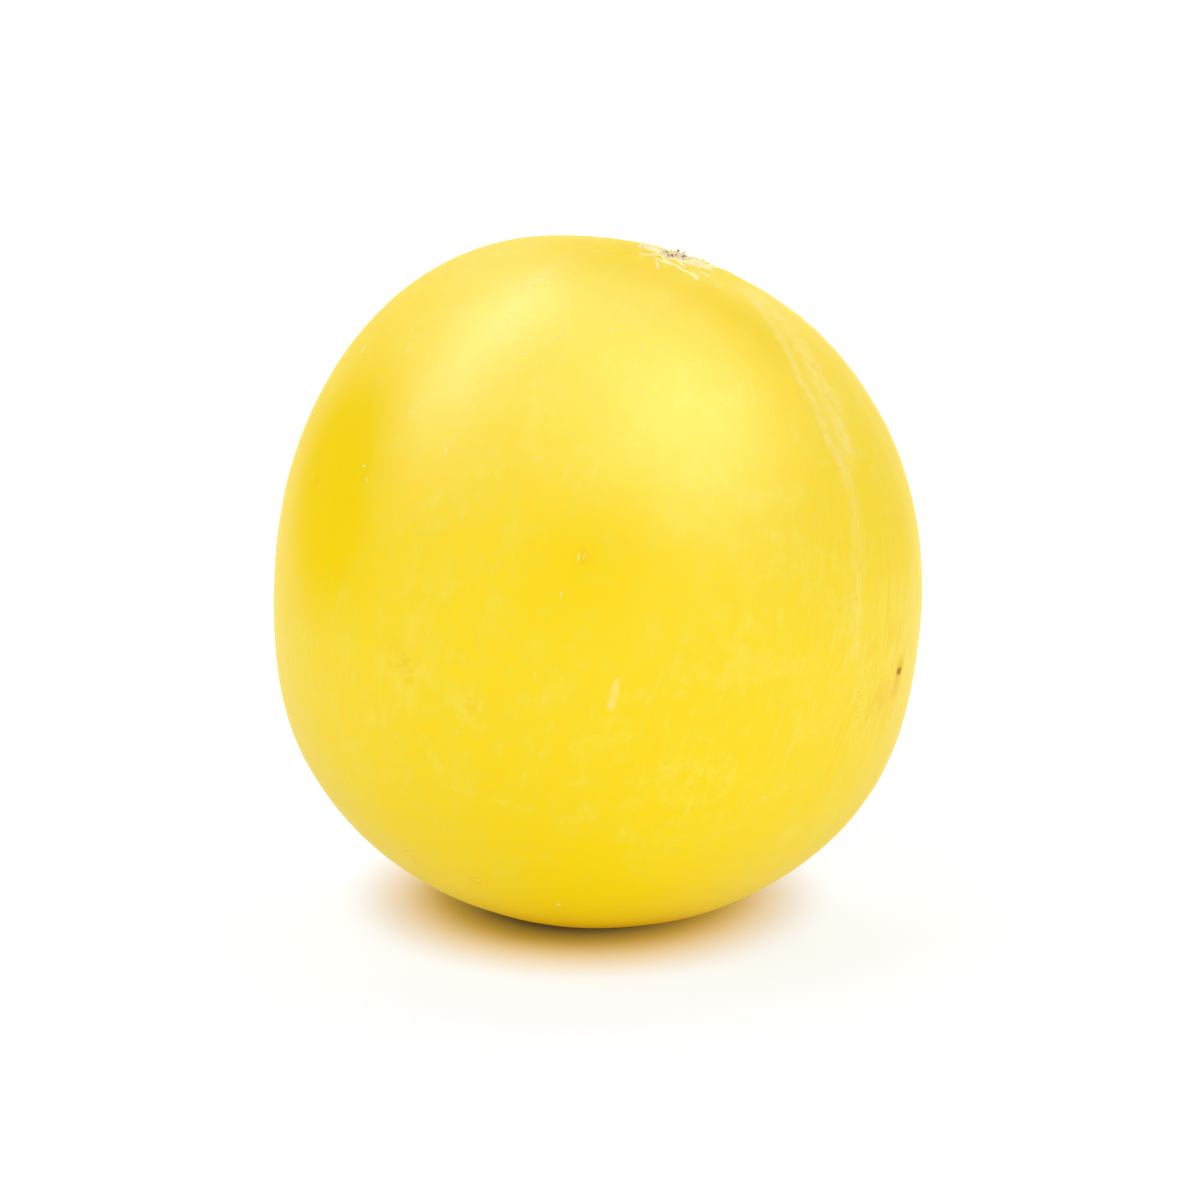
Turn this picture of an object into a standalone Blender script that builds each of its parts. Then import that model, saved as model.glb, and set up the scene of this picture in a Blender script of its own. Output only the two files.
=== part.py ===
"""A whole honeydew melon with a smooth yellow rind, standing almost upright on its small ground spot.

The fruit is one grown piece, so it is one solid: a rounded body with seven broad, uneven lobes, a corky
scar where the stem came off, a small blossom scar at the other end and the flat spot that it lay on in the
field.
Lengths are in metres and angles in degrees. A place on the rind is given in the melon's own frame by two
angles: "down" is counted from the stem, and "around" from the right side through the back.
"""

import math

import bmesh
import bpy
from mathutils import Matrix, Vector

MELON_NAME = "honeydew_melon"
RIND_COLOUR = (0.93, 0.68, 0.05, 1.0)
RIND_ROUGHNESS = 0.38

EQUATOR_RADIUS = 0.0782
POLE_LENGTH = 0.08055
FULLNESS = 2.16
LEAN_RIGHT = 13.2
LEAN_BACK = 0.7
REST_DEPTH = 0.0008
REST_SNAP = 0.0002

SEGMENTS = 80
RINGS = 56
POLE_PACKING = 0.7

# The valleys between the lobes: around, half of the width in degrees, and depth.
VALLEYS = (
    (8.0, 15.0, 0.0005),
    (60.0, 16.0, 0.0009),
    (110.0, 15.0, 0.0008),
    (155.0, 16.0, 0.0007),
    (201.0, 19.0, 0.0014),
    (256.0, 13.0, 0.0007),
    (317.0, 17.0, 0.0017),
)
VALLEYS_DEEPEST = 43.0
VALLEYS_SPREAD = 30.0
VALLEYS_AT_EQUATOR = 0.3

# Broad swells and hollows: around, down, spread and rise.
SWELLS = {
    "left shoulder": (180.0, 35.0, 30.0, 0.0043),
    "left hollow": (180.0, 108.0, 18.0, -0.0018),
    "right shoulder": (0.0, 52.0, 32.0, -0.0019),
    "lower right cheek": (0.0, 114.0, 22.0, 0.0027),
    "back shoulder": (80.0, 55.0, 40.0, 0.0012),
    "lower back cheek": (110.0, 125.0, 35.0, 0.0010),
    "lower front cheek": (270.0, 120.0, 40.0, 0.0008),
}

SCAR_RADIUS = 0.0094
SCAR_LIP_HEIGHT = 0.0007
SCAR_LIP_WIDTH = 0.0017
SCAR_BOWL_DEPTH = 0.0011
SCAR_CRACKS = 11
SCAR_CRACK_SHARE = 0.4
SCAR_CRACK_DRIFT = 1.5
FIBRE_COUNT = 5
FIBRE_RING = 0.0042
FIBRE_HEIGHT = 0.0010
FIBRE_SPREAD = 0.0013

# Corky flakes that run out from the lip: around, distance from the stem, spread and rise.
FLAKES = (
    (255.0, 0.0160, 0.0017, 0.0004),
    (274.0, 0.0134, 0.0020, 0.0004),
    (287.0, 0.0166, 0.0020, 0.0005),
    (306.0, 0.0140, 0.0016, 0.0004),
    (28.0, 0.0145, 0.0020, 0.0004),
    (112.0, 0.0155, 0.0022, 0.0004),
    (178.0, 0.0140, 0.0018, 0.0004),
)

BUTTON_RADIUS = 0.0042
BUTTON_LIP_HEIGHT = 0.0005
BUTTON_LIP_WIDTH = 0.0015
BUTTON_DIMPLE_DEPTH = 0.0009
BUTTON_DIMPLE_RADIUS = 0.0028


def clear_scene():
    for obj in list(bpy.data.objects):
        bpy.data.objects.remove(obj, do_unlink=True)


def bell(distance, width):
    """1 in the middle, falling smoothly to nothing past twice the width."""
    return math.exp(-((distance / width) ** 2))


def direction_at(around, down):
    turn = math.radians(around)
    drop = math.radians(down)
    return Vector((math.sin(drop) * math.cos(turn), math.sin(drop) * math.sin(turn), math.cos(drop)))


def own_frame():
    """The turn from the melon's own frame, stem along +Z, to the leaning melon as it rests."""
    lean_x = math.tan(math.radians(LEAN_RIGHT))
    lean_y = math.tan(math.radians(LEAN_BACK))
    stem = Vector((lean_x, lean_y, 1.0)).normalized()
    right = Vector((1.0, 0.0, 0.0))
    right = (right - stem * right.dot(stem)).normalized()
    back = stem.cross(right)
    return Matrix((right, back, stem)).transposed()


def body_radius(down):
    """A meridian a little squarer than an ellipse."""
    drop = math.radians(down)
    across = abs(math.sin(drop)) / EQUATOR_RADIUS
    along = abs(math.cos(drop)) / POLE_LENGTH
    return (across**FULLNESS + along**FULLNESS) ** (-1.0 / FULLNESS)


def swells(direction):
    total = 0.0
    for around, down, spread, rise in SWELLS.values():
        apart = math.degrees(direction.angle(direction_at(around, down)))
        total += rise * bell(apart, spread)
    return total


def lobe_valleys(around, down):
    """Broad lobes parted by shallow valleys, deepest on the shoulder and faint below the equator."""
    shoulder = bell(down - VALLEYS_DEEPEST, VALLEYS_SPREAD)
    fade = VALLEYS_AT_EQUATOR + (1.0 - VALLEYS_AT_EQUATOR) * shoulder
    closing = math.sqrt(max(math.sin(math.radians(down)), 0.0))
    total = 0.0
    for middle, half_width, depth in VALLEYS:
        aside = (around - middle + 180.0) % 360.0 - 180.0
        total -= depth * bell(aside, half_width)
    return total * fade * closing


def stem_scar(around, arc):
    """A ragged, cracked lip round a shallow bowl that holds the dried ends of the stem's fibres."""
    turn = math.radians(around)
    lip_radius = SCAR_RADIUS * (1.0 + 0.10 * math.cos(2.0 * turn + 0.6) + 0.06 * math.cos(5.0 * turn + 1.9))
    cracks = 0.5 + 0.5 * math.cos(SCAR_CRACKS * turn + SCAR_CRACK_DRIFT * math.sin(3.0 * turn))
    lip = SCAR_LIP_HEIGHT * (1.0 - SCAR_CRACK_SHARE * cracks) * bell(arc - lip_radius, SCAR_LIP_WIDTH)
    bowl = -SCAR_BOWL_DEPTH * max(1.0 - (arc / lip_radius) ** 2, 0.0)
    return lip + bowl + stem_fibres(turn, arc)


def stem_fibres(turn, arc):
    total = 0.0
    for k in range(FIBRE_COUNT):
        fibre_turn = 2.0 * math.pi * k / FIBRE_COUNT
        apart = math.hypot(
            arc * math.cos(turn) - FIBRE_RING * math.cos(fibre_turn),
            arc * math.sin(turn) - FIBRE_RING * math.sin(fibre_turn),
        )
        total += FIBRE_HEIGHT * bell(apart, FIBRE_SPREAD)
    return total


def flakes(around, arc):
    turn = math.radians(around)
    total = 0.0
    for flake_around, distance, spread, rise in FLAKES:
        flake_turn = math.radians(flake_around)
        apart = math.hypot(
            arc * math.cos(turn) - distance * math.cos(flake_turn),
            arc * math.sin(turn) - distance * math.sin(flake_turn),
        )
        total += rise * bell(apart, spread)
    return total


def blossom_scar(arc):
    """A low ring with a dimple in its middle."""
    lip = BUTTON_LIP_HEIGHT * bell(arc - BUTTON_RADIUS, BUTTON_LIP_WIDTH)
    return lip - BUTTON_DIMPLE_DEPTH * bell(arc, BUTTON_DIMPLE_RADIUS)


def rind_radius(around, down):
    direction = direction_at(around, down)
    from_stem = math.radians(down) * POLE_LENGTH
    from_blossom = math.radians(180.0 - down) * POLE_LENGTH
    radius = body_radius(down) + swells(direction) + lobe_valleys(around, down)
    radius += stem_scar(around, from_stem) + flakes(around, from_stem) + blossom_scar(from_blossom)
    return radius


def packed_down(down):
    """Moves the rings of an even sphere closer together towards both ends, where the scars are."""
    share = down / 180.0
    return 180.0 * (share - POLE_PACKING * math.sin(2.0 * math.pi * share) / (2.0 * math.pi))


def shape_rind(bm):
    turn_to_rest = own_frame()
    for vert in bm.verts:
        around = math.degrees(math.atan2(vert.co.y, vert.co.x))
        down = packed_down(math.degrees(vert.co.angle(Vector((0.0, 0.0, 1.0)))))
        vert.co = turn_to_rest @ (direction_at(around, down) * rind_radius(around, down))


def flatten_rest_spot(bm):
    """Cuts the lowest part away level, and moves the melon so that the flat's middle is the origin."""
    height = min(vert.co.z for vert in bm.verts) + REST_DEPTH
    for vert in bm.verts:
        if abs(vert.co.z - height) < REST_SNAP:
            vert.co.z = height
    geometry = list(bm.verts) + list(bm.edges) + list(bm.faces)
    bmesh.ops.bisect_plane(
        bm,
        geom=geometry,
        plane_co=(0.0, 0.0, height),
        plane_no=(0.0, 0.0, -1.0),
        clear_outer=True,
    )
    rim = [edge for edge in bm.edges if edge.is_boundary]
    flat = bmesh.ops.contextual_create(bm, geom=rim)["faces"][0]
    middle = flat.calc_center_median_weighted()
    bmesh.ops.translate(bm, verts=bm.verts, vec=(-middle.x, -middle.y, -height))


def rind_material():
    material = bpy.data.materials.new("rind")
    material.use_nodes = True
    shader = material.node_tree.nodes["Principled BSDF"]
    shader.inputs["Base Color"].default_value = RIND_COLOUR
    shader.inputs["Roughness"].default_value = RIND_ROUGHNESS
    shader.inputs["Metallic"].default_value = 0.0
    return material


def build_melon(collection):
    bm = bmesh.new()
    bmesh.ops.create_uvsphere(bm, u_segments=SEGMENTS, v_segments=RINGS, radius=1.0)
    shape_rind(bm)
    flatten_rest_spot(bm)
    bmesh.ops.recalc_face_normals(bm, faces=bm.faces)
    mesh = bpy.data.meshes.new("melon")
    bm.to_mesh(mesh)
    bm.free()
    mesh.materials.append(rind_material())
    mesh.shade_smooth()
    mesh.set_sharp_from_angle(angle=math.radians(50.0))
    melon = bpy.data.objects.new("melon", mesh)
    collection.objects.link(melon)


def main():
    clear_scene()
    collection = bpy.data.collections.new(MELON_NAME)
    bpy.context.scene.collection.children.link(collection)
    build_melon(collection)


main()
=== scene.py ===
import math
import random

import bpy
from mathutils import Matrix, Vector, noise
from mathutils.bvhtree import BVHTree


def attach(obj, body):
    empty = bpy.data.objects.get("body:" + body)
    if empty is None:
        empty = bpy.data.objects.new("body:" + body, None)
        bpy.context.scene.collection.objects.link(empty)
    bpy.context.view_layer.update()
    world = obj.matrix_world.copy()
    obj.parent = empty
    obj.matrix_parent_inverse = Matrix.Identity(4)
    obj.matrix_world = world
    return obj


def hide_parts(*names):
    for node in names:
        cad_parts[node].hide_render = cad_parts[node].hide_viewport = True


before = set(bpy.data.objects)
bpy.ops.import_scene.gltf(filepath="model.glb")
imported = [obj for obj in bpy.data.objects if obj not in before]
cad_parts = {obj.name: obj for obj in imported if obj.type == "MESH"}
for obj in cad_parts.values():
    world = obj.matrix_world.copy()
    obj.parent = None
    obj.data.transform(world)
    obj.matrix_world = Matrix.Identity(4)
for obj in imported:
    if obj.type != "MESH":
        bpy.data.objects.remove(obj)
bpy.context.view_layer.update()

# the melon's own frame: Z along the stem, X to the right, Y to the back; metres and degrees
melon = {
    "middle": Vector((-0.0026, -0.0004, 0.0803)),
    "leanRight": 13.2,
    "leanBack": 0.7,
    "radius": 0.0805,
}

photo = {
    "pixels": 1200,
    "pixelsPerMetre": 4187,
    "melonPixel": (596.4, 587.2),  # where the melon's own middle shows
    "lookDown": 11,
    "lens": 150,  # mm
    "sensor": 36,  # mm
}


def ownAxes():
    right, back = math.radians(melon["leanRight"]), math.radians(melon["leanBack"])
    stem = Vector((math.tan(right), math.tan(back), 1)).normalized()
    side = Vector((1, 0, 0))
    side = (side - stem * side.dot(stem)).normalized()
    return Matrix((side, stem.cross(side), stem)).transposed()


toRest = ownAxes()
toOwn = toRest.transposed()


def headingAt(around, down):  # from the melon's middle, in the melon's own angles
    turn, drop = math.radians(around), math.radians(down)
    own = Vector((math.sin(drop) * math.cos(turn), math.sin(drop) * math.sin(turn), math.cos(drop)))
    return toRest @ own


def ownPoint(point):
    return toOwn @ (point - melon["middle"])


def ownAngles(point):
    own = ownPoint(point)
    return math.degrees(math.atan2(own.y, own.x)) % 360, math.degrees(own.angle(Vector((0, 0, 1))))


def bell(distance, width):
    return math.exp(-((distance / width) ** 2))


def smooth(low, high, value):
    share = min(max((value - low) / (high - low), 0), 1)
    return share * share * (3 - 2 * share)


def between(low, high, share):
    return low + (high - low) * share


def eitherSide(rng, reach):
    return rng.uniform(-reach, reach)


def roughAt(place, layer, scale):  # noise on a flat sheet, each layer with a pattern of its own
    return noise.noise(Vector((place.x, place.y, layer)) * scale)


def selectOnly(obj):
    bpy.ops.object.select_all(action="DESELECT")
    obj.select_set(True)
    bpy.context.view_layer.objects.active = obj


# camera

def cameraAxes():
    tilt = math.radians(photo["lookDown"])
    forward = Vector((0, math.cos(tilt), -math.sin(tilt)))
    return Vector((1, 0, 0)), Vector((0, math.sin(tilt), math.cos(tilt))), forward


def makeCamera():
    right, up, forward = cameraAxes()
    distance = photo["pixels"] / photo["pixelsPerMetre"] * photo["lens"] / photo["sensor"]
    aside = (photo["pixels"] / 2 - photo["melonPixel"][0]) / photo["pixelsPerMetre"]
    below = (photo["pixels"] / 2 - photo["melonPixel"][1]) / photo["pixelsPerMetre"]
    place = melon["middle"] + right * aside - up * below - forward * distance
    bpy.ops.object.camera_add(location=place, rotation=(math.radians(90 - photo["lookDown"]), 0, 0))
    camera = bpy.context.object
    camera.name = "photoCamera"
    camera.data.lens = photo["lens"]
    camera.data.sensor_width = photo["sensor"]
    bpy.context.scene.camera = camera
    return camera


def rayThrough(x, y):  # a direction through a pixel of the photograph
    right, up, forward = cameraAxes()
    focal = photo["lens"] / photo["sensor"] * photo["pixels"]
    half = photo["pixels"] / 2
    return (forward + right * ((x - half) / focal) + up * ((half - y) / focal)).normalized()


camera = makeCamera()
print("camera placed")


# materials

def addNode(tree, kind, inputs=None, **settings):
    node = tree.nodes.new(kind)
    for name, value in settings.items():
        setattr(node, name, value)
    for name, value in (inputs or {}).items():
        setInput(tree, node.inputs[name], value)
    return node


def setInput(tree, socket, value):
    if isinstance(value, bpy.types.NodeSocket):
        tree.links.new(value, socket)
    else:
        socket.default_value = value


def mathOf(tree, operation, first, second=0.0, third=0.0):
    node = addNode(tree, "ShaderNodeMath", {0: first, 1: second, 2: third}, operation=operation)
    return node.outputs[0]


def vectorOf(tree, operation, first, second=(0, 0, 0)):
    return addNode(tree, "ShaderNodeVectorMath", {0: first, 1: second}, operation=operation)


def ramp(tree, value, low, high, start=0.0, end=1.0, kind="SMOOTHSTEP"):
    names = {"Value": value, "From Min": low, "From Max": high, "To Min": start, "To Max": end}
    return addNode(tree, "ShaderNodeMapRange", names, interpolation_type=kind).outputs["Result"]


def mixColours(tree, share, first, second):
    node = addNode(tree, "ShaderNodeMix", data_type="RGBA")
    setInput(tree, node.inputs[0], share)
    setInput(tree, node.inputs[6], first)
    setInput(tree, node.inputs[7], second)
    return node.outputs[2]


def newMaterial(name):
    material = bpy.data.materials.new(name)
    material.use_nodes = True
    return material, material.node_tree, material.node_tree.nodes["Principled BSDF"]


def weightedSum(tree, parts):  # parts are pairs of a socket and its share
    total = 0.0
    for value, share in parts:
        total = mathOf(tree, "MULTIPLY_ADD", value, share, total)
    return total


def noiseOf(tree, vector, scale, detail, roughness):
    names = {"Vector": vector, "Scale": scale, "Detail": detail, "Roughness": roughness}
    return addNode(tree, "ShaderNodeTexNoise", names).outputs["Fac"]


def cellsOf(tree, vector, scale):  # the distance from the middle of each cell
    return addNode(tree, "ShaderNodeTexVoronoi", {"Vector": vector, "Scale": scale}).outputs["Distance"]


def setBump(tree, shader, height):  # heights in millimetres
    bump = addNode(tree, "ShaderNodeBump", {"Strength": 1.0, "Distance": 0.001, "Height": height})
    setInput(tree, shader.inputs["Normal"], bump.outputs["Normal"])


def ownCoordinates(tree):  # object coordinates turned into the melon's own frame
    coordinates = addNode(tree, "ShaderNodeTexCoord").outputs["Object"]
    mapping = addNode(tree, "ShaderNodeMapping", {"Vector": coordinates})
    mapping.inputs["Rotation"].default_value = toOwn.to_euler()
    mapping.inputs["Location"].default_value = -(toOwn @ melon["middle"])
    return mapping.outputs["Vector"]


def painted(tree, name):
    return addNode(tree, "ShaderNodeAttribute", attribute_name=name).outputs["Fac"]


rind = {
    "deep": (0.818, 0.585, 0.0, 1),
    "plain": (0.796, 0.591, 0.006, 1),
    "pale": (0.803, 0.614, 0.034, 1),
    "bloom": (0.85, 0.71, 0.24, 1),  # scuffed and faded skin
    "amber": (0.72, 0.43, 0.002, 1),  # stripes, smudges and the halo of the spot
    "blotch": (90, 4.0, 0.55),  # patterns to a metre, their detail and their roughness
    "mottle": (300, 4.0, 0.72),
    "grain": (2300, 3.0, 0.6),
    "poreScale": 700,
    "poreEdge": (0.0, 0.25),
    "toneShares": {"blotch": 0.40, "mottle": 0.56, "stripe": 0.26, "deepnessAndShade": -0.11, "paleness": 0.10},
    "deepToPlain": (0.49, 0.62),  # the tones between which one colour turns into the next
    "plainToPale": (0.58, 0.77),
    "smudged": (0.62, 0.42, 0.1, 0.55),  # from and to on the mottling, and the shares of amber there
    "roughness": (0.3, 1.2, 0.46, 0.60),  # from and to on mottling and scuffs, and the roughness there
    "sheen": (0.1, 1.1, 0.52, 0.07),  # from and to on the painted deepness and shade, and the reflection there; weaker reflection is painted in the shaded places
    "plainSheen": 0.4,  # for a viewer that can't read the painted deepness and shade
    "refraction": 1.27,
    "bumps": {  # millimetres
        "grain": 0.016, "pores": 0.006, "mottle": 0.030, "stripe": 0.015, "bar": 0.030, "spot": -0.080,
    },
}

# patterns that run from the stem to the blossom end
stripes = {
    "broad": (46, 4.0, 0.6),  # patterns, their detail and their roughness
    "fine": (56, 4.0, 0.65),
    "fleck": (150, 5.0, 0.7),
    "stretch": 0.10,  # how fast a pattern changes lengthwise, next to round the melon
    "ochre": (0.50, 0.68, 0.0, 0.26),  # from and to on the fine pattern, and the shares of colour there
    "faded": (0.48, 0.32, 0.0, 0.18),
    "fleckEdge": (0.45, 0.65, 0.4, 1.0),
    "fleckBreaks": (0.36, 0.6, 0.4, 1.3),  # from and to on the mottling
}

# marks of the rind that are only colour, by their places in the photograph
paleBar = {
    "top": (617.5, 679.5),
    "foot": (609.7, 710),
    "halfWidth": 0.00075,
    "soft": 0.65,
    "colour": (0.83, 0.67, 0.19, 1),
    "worn": (0.35, 0.6, 0.35, 0.85),  # from and to on the mottling, and the shares of colour there
}
brownSpot = {
    "pixel": (899, 671),
    "radius": 0.0009,
    "halfLength": 0.0007,  # it is drawn out sideways
    "soft": 0.45,
    "colour": (0.27, 0.10, 0.0, 1),
    "share": 0.85,
    "halo": 0.0020,
    "haloHalfLength": 0.003,
    "haloDrop": 0.0015,
    "haloSoft": 0.8,
    "haloShare": 0.75,
}
faintDots = {
    "pixel": (866, 695),
    "reach": 0.0075,
    "halfLength": 0.002,
    "soft": 0.5,
    "scale": 520,
    "edge": (0.10, 0.24, 1.0, 0.0),
    "share": 0.20,
}
markEdge = {"scale": 900, "reach": 0.0006}  # the uneven outline of the marks
lengthwise = Vector((0, 0, 1))


def ribbonVector(tree, own):  # a place round the melon, with its height drawn together
    parts = addNode(tree, "ShaderNodeSeparateXYZ", {0: own})
    flat = addNode(tree, "ShaderNodeCombineXYZ", {0: parts.outputs[0], 1: parts.outputs[1]})
    unit = vectorOf(tree, "NORMALIZE", flat.outputs[0]).outputs[0]
    height = mathOf(tree, "MULTIPLY", parts.outputs[2], stripes["stretch"] / melon["radius"])
    lift = addNode(tree, "ShaderNodeCombineXYZ", {2: height}).outputs[0]
    return vectorOf(tree, "ADD", unit, lift).outputs[0]


def markMask(tree, own, middle, along, halfLength, halfWidth, soft, wobble=None):
    # 1 inside a rounded bar on the rind, fading over a soft edge
    offset = vectorOf(tree, "SUBTRACT", own, middle).outputs[0]
    if wobble is not None:
        offset = vectorOf(tree, "ADD", offset, wobble).outputs[0]
    run = vectorOf(tree, "DOT_PRODUCT", offset, along).outputs["Value"]
    held = addNode(tree, "ShaderNodeClamp", {"Value": run, "Min": -halfLength, "Max": halfLength})
    spine = addNode(tree, "ShaderNodeVectorMath", {0: tuple(along)}, operation="SCALE")
    setInput(tree, spine.inputs["Scale"], held.outputs[0])
    aside = vectorOf(tree, "SUBTRACT", offset, spine.outputs[0]).outputs[0]
    distance = vectorOf(tree, "LENGTH", aside).outputs["Value"]
    return ramp(tree, distance, halfWidth * (1 - soft), halfWidth * (1 + soft), 1.0, 0.0)


def wobbleOf(tree, own):
    names = {"Vector": own, "Scale": markEdge["scale"], "Detail": 2.0}
    colour = addNode(tree, "ShaderNodeTexNoise", names).outputs["Color"]
    centred = vectorOf(tree, "SUBTRACT", colour, (0.5, 0.5, 0.5)).outputs[0]
    return vectorOf(tree, "MULTIPLY", centred, (markEdge["reach"],) * 3).outputs[0]


def groundYellow(tree, own, mottle, stripe):  # broad blotches, fine mottling and lengthwise bands
    blotch = noiseOf(tree, own, *rind["blotch"])
    shares = rind["toneShares"]
    tone = weightedSum(tree, (
        (blotch, shares["blotch"]),
        (mottle, shares["mottle"]),
        (stripe, shares["stripe"]),
        # the painted deepness, partly painted shade, darkens the tone
        (painted(tree, "deepnessAndShade"), shares["deepnessAndShade"]),
        (painted(tree, "paleness"), shares["paleness"]),
    ))
    colour = mixColours(tree, ramp(tree, tone, *rind["deepToPlain"]), rind["deep"], rind["plain"])
    return mixColours(tree, ramp(tree, tone, *rind["plainToPale"]), colour, rind["pale"])


def addStripes(tree, ribbons, colour):  # fine stripes, ochre and pale, on the right side
    fine = noiseOf(tree, ribbons, *stripes["fine"])
    for edges, tint in ((stripes["ochre"], rind["amber"]), (stripes["faded"], rind["bloom"])):
        share = mathOf(tree, "MULTIPLY", painted(tree, "streaky"), ramp(tree, fine, *edges))
        colour = mixColours(tree, share, colour, tint)
    return colour


def scuffMask(tree, ribbons, mottle):  # painted scuffs, broken up into fine lengthwise flecks
    fleck = ramp(tree, noiseOf(tree, ribbons, *stripes["fleck"]), *stripes["fleckEdge"])
    fleck = mathOf(tree, "MULTIPLY", fleck, ramp(tree, mottle, *stripes["fleckBreaks"]))
    return mathOf(tree, "MULTIPLY", painted(tree, "scuff"), fleck)


def barMask(tree, own, wobble):  # the pale bar on the front
    top, foot = ownPixel(*paleBar["top"]), ownPixel(*paleBar["foot"])
    along = (foot - top).normalized()
    half = (foot - top).length / 2 - paleBar["halfWidth"]
    return markMask(tree, own, (top + foot) / 2, along, half, paleBar["halfWidth"], paleBar["soft"], wobble)


def spotMasks(tree, own, wobble):  # the brown spot at the right, and its halo
    place = ownPixel(*brownSpot["pixel"])
    sideways = lengthwise.cross(place).normalized()
    size = brownSpot["halfLength"], brownSpot["radius"], brownSpot["soft"]
    haloSize = brownSpot["haloHalfLength"], brownSpot["halo"], brownSpot["haloSoft"]
    lower = place - lengthwise * brownSpot["haloDrop"]
    spot = markMask(tree, own, place, sideways, *size, wobble)
    return spot, markMask(tree, own, lower, lengthwise, *haloSize, wobble)


def dotsMask(tree, own):  # a scatter of faint dots beside the spot
    dots = ramp(tree, cellsOf(tree, own, faintDots["scale"]), *faintDots["edge"])
    size = faintDots["halfLength"], faintDots["reach"], faintDots["soft"]
    region = markMask(tree, own, ownPixel(*faintDots["pixel"]), lengthwise, *size)
    return mathOf(tree, "MULTIPLY", dots, region)


def rindMaterial():
    material, tree, shader = newMaterial("rind")
    own = ownCoordinates(tree)
    mottle = noiseOf(tree, own, *rind["mottle"])
    ribbons = ribbonVector(tree, own)
    stripe = noiseOf(tree, ribbons, *stripes["broad"])
    wobble = wobbleOf(tree, own)
    scuff = scuffMask(tree, ribbons, mottle)
    bar = barMask(tree, own, wobble)
    spot, halo = spotMasks(tree, own, wobble)

    # the colour, from the ground yellow to the marks that lie over it
    colour = addStripes(tree, ribbons, groundYellow(tree, own, mottle, stripe))
    smudge = mathOf(tree, "MULTIPLY", painted(tree, "smudge"), ramp(tree, mottle, *rind["smudged"]))
    worn = mathOf(tree, "MULTIPLY", bar, ramp(tree, mottle, *paleBar["worn"]))
    layers = (
        (smudge, 1.0, rind["amber"]),
        (scuff, 1.0, rind["bloom"]),
        (worn, 1.0, paleBar["colour"]),
        (halo, brownSpot["haloShare"], rind["amber"]),
        (spot, brownSpot["share"], brownSpot["colour"]),
        (dotsMask(tree, own), faintDots["share"], brownSpot["colour"]),
    )
    for mask, share, tint in layers:
        colour = mixColours(tree, mathOf(tree, "MULTIPLY", mask, share), colour, tint)
    setInput(tree, shader.inputs["Base Color"], colour)

    # a waxy sheen, duller on scuffs, with weaker reflection painted in the deep and shaded places
    rough = ramp(tree, mathOf(tree, "ADD", mottle, scuff), *rind["roughness"])
    setInput(tree, shader.inputs["Roughness"], rough)
    shader.inputs["Specular IOR Level"].default_value = rind["plainSheen"]
    sheen = ramp(tree, painted(tree, "deepnessAndShade"), *rind["sheen"])
    setInput(tree, shader.inputs["Specular IOR Level"], sheen)
    shader.inputs["IOR"].default_value = rind["refraction"]

    # fine grain, pores and a slow unevenness
    bumps = rind["bumps"]
    grain = noiseOf(tree, own, *rind["grain"])
    pores = ramp(tree, cellsOf(tree, own, rind["poreScale"]), *rind["poreEdge"])
    setBump(tree, shader, weightedSum(tree, (
        (grain, bumps["grain"]),
        (pores, bumps["pores"]),
        (mottle, bumps["mottle"]),
        (stripe, bumps["stripe"]),
        (bar, bumps["bar"]),
        (spot, bumps["spot"]),
    )))
    return material


cork = {
    "young": (0.83, 0.68, 0.17, 1),
    "cream": (0.83, 0.74, 0.36, 1),
    "tan": (0.72, 0.58, 0.41, 1),
    "brown": (0.24, 0.15, 0.10, 1),
    "youngToCream": (-1.2, -0.2),  # the ages between which one colour turns into the next
    "creamToTan": (0.05, 0.55),
    "tanToBrown": (0.5, 1.0),
    "ageSpread": 0.5,
    "roughness": (0.3, 0.7, 0.75, 0.95),  # from and to on the specks, and the roughness there
    "sheen": 0.2,
    "speck": (900, 4.0, 0.65),  # patterns to a metre, their detail and their roughness
    "speckBump": 0.12,
    "fibre": (2600, 3.0, 0.6),
    "fibreBump": 0.05,
}


def corkMaterial():
    material, tree, shader = newMaterial("cork")
    own = ownCoordinates(tree)
    speck = noiseOf(tree, own, *cork["speck"])
    fibre = noiseOf(tree, own, *cork["fibre"])
    spread = mathOf(tree, "MULTIPLY_ADD", speck, cork["ageSpread"], -cork["ageSpread"] / 2)
    age = mathOf(tree, "ADD", painted(tree, "age"), spread)
    colour = mixColours(tree, ramp(tree, age, *cork["youngToCream"]), cork["young"], cork["cream"])
    colour = mixColours(tree, ramp(tree, age, *cork["creamToTan"]), colour, cork["tan"])
    colour = mixColours(tree, ramp(tree, age, *cork["tanToBrown"]), colour, cork["brown"])
    setInput(tree, shader.inputs["Base Color"], colour)
    setInput(tree, shader.inputs["Roughness"], ramp(tree, speck, *cork["roughness"]))
    shader.inputs["Specular IOR Level"].default_value = cork["sheen"]
    setBump(tree, shader, weightedSum(tree, ((speck, cork["speckBump"]), (fibre, cork["fibreBump"]))))
    return material


# the skin

skin = {
    "weld": 0.00002,  # corners closer than this are one
    "quadAngles": (40, 60),  # up to these two triangles become one face
    "subdivisions": 2,
    "routeSteps": 6,
    "waves": (0.00012, 55),  # height and how many to a metre
    "ripples": (0.00004, 160),
    "pleatHeight": 0.00012,  # creases that run out of the stem scar
    "pleatCount": 23,
    "pleatSways": ((2.5, 2), (1.5, 5)),  # how far they lean to the sides, and how often on the way round
    "pleatPlace": (9, 8),  # degrees down, and spread
    "streaky": (336, 86, 23, 1),  # the striped place: around, down, spread and strength
}

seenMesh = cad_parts["melon"].data
seenTree = BVHTree.FromPolygons([v.co for v in seenMesh.vertices], [f.vertices for f in seenMesh.polygons])


def seenPoint(x, y):  # the point of the plain rind behind a pixel of the photograph
    return seenTree.ray_cast(camera.location, rayThrough(x, y))[0]


def seenRoute(*pixels):
    return [ownAngles(seenPoint(x, y)) for x, y in pixels]


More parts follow.
